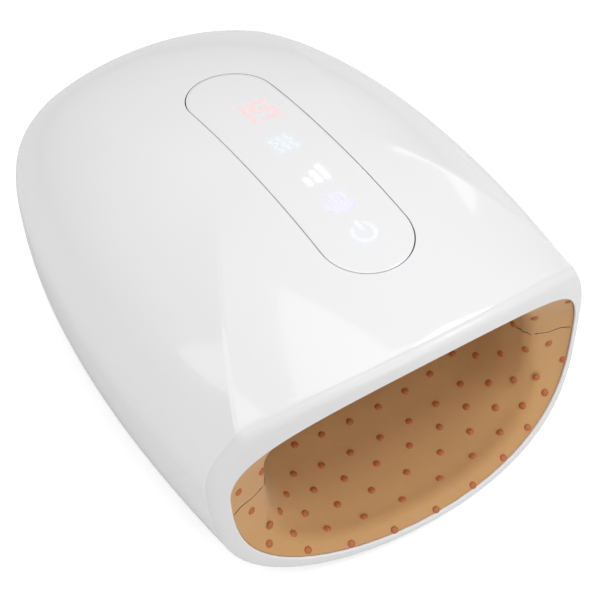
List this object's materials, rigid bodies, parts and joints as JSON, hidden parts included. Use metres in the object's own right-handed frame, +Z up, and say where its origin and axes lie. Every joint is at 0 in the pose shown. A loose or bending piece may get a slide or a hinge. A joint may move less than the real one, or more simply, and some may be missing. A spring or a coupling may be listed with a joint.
{
  "type": "hand massager",
  "caption": "Cordless hand massager with heat and air pads: a rounded white shell with a creased roof, touch panel and a fabric-lined opening for the hand",
  "frame": {"origin": "centre of the underside, on the surface it stands on", "axes": "+Y from the hand opening to the back, +X to the right seen from the opening, +Z up"},
  "size_m": [0.1676, 0.219, 0.1032],
  "materials": {
    "shell": "white gloss moulded shell",
    "ring": "white satin moulded ring",
    "panel": "white translucent touch panel",
    "rubber": "matt rubber",
    "shroud": "white light guide",
    "board": "green circuit board",
    "lamp": "small lamp",
    "display": "two-digit display",
    "fabric": "tan woven lining",
    "dot": "red-brown soft dots",
    "tray": "grey moulded tray",
    "foam": "padded foam",
    "film": "heating film",
    "bladder": "air bladder",
    "steel": "plated steel",
    "magnet": "ferrite",
    "brass": "sintered bush",
    "copper": "enamelled copper winding",
    "dark_plastic": "black moulded plastic",
    "cell": "sleeved battery cell",
    "aluminium": "bare can"
  },
  "bodies": {
    "housing": {"base_shell": "shell", "battery_cells": "cell", "battery_holder": "dark_plastic", "board_capacitors": "aluminium", "board_parts": "dark_plastic", "ceiling_liner": "fabric", "charge_socket": "steel", "control_panel": "panel", "digit_display": "display", "finger_bladder": "bladder", "floor_bladder": "bladder", "floor_liner": "fabric", "floor_tray": "tray", "front_ring": "ring", "housing_screws": "steel", "light_guide": "shroud", "liner_clamp": "ring", "main_board": "board", "massage_dots": "dot", "motor_bushes": "brass", "motor_can": "steel", "motor_cap": "dark_plastic", "motor_magnets": "magnet", "palm_bladder": "bladder", "panel_gasket": "rubber", "panel_lamps": "lamp", "pump_cradle": "rubber", "pump_diaphragm": "rubber", "pump_head": "dark_plastic", "roof_tray": "tray", "rubber_feet": "rubber", "socket_board": "board", "top_shell": "shell", "touch_board": "board", "valve_coils": "copper", "valve_frames": "steel", "valve_rail": "dark_plastic"},
    "palm_cushion": {"palm_pad": "foam", "palm_heater": "film"},
    "finger_cushion": {"finger_pad": "foam"},
    "floor_cushion": {"floor_pad": "foam", "floor_heater": "film"},
    "pump_rotor": {"pump_shaft": "steel", "pump_armature": "copper", "pump_eccentric": "dark_plastic"},
    "plunger_1": {"valve_plunger_1": "steel"},
    "plunger_2": {"valve_plunger_2": "steel"},
    "plunger_3": {"valve_plunger_3": "steel"}
  },
  "joints": [
    {"name": "palm_press", "type": "slide", "parent": "housing", "child": "palm_cushion", "axis": [0, 0, -1], "range_m": [0, 0.01], "stiffness_N_per_m": 1500, "springref_m": -0.001, "deforming": ["palm_bladder", "ceiling_liner"]},
    {"name": "finger_press", "type": "slide", "parent": "housing", "child": "finger_cushion", "axis": [0, 0, -1], "range_m": [0, 0.01], "stiffness_N_per_m": 1500, "springref_m": -0.001, "deforming": ["finger_bladder", "ceiling_liner"]},
    {"name": "floor_press", "type": "slide", "parent": "housing", "child": "floor_cushion", "axis": [0, 0, 1], "range_m": [0, 0.007], "stiffness_N_per_m": 1500, "deforming": ["floor_bladder", "floor_liner", "massage_dots"]},
    {"name": "pump_spin", "type": "hinge", "parent": "housing", "child": "pump_rotor", "pos_m": [0, 0.083, 0.0235], "axis": [1, 0, 0], "continuous": true},
    {"name": "valve_1_lift", "type": "slide", "parent": "housing", "child": "plunger_1", "axis": [0, 0, 1], "range_m": [0, 0.0012], "stiffness_N_per_m": 150},
    {"name": "valve_2_lift", "type": "slide", "parent": "housing", "child": "plunger_2", "axis": [0, 0, 1], "range_m": [0, 0.0012], "stiffness_N_per_m": 150},
    {"name": "valve_3_lift", "type": "slide", "parent": "housing", "child": "plunger_3", "axis": [0, 0, 1], "range_m": [0, 0.0012], "stiffness_N_per_m": 150}
  ]
}
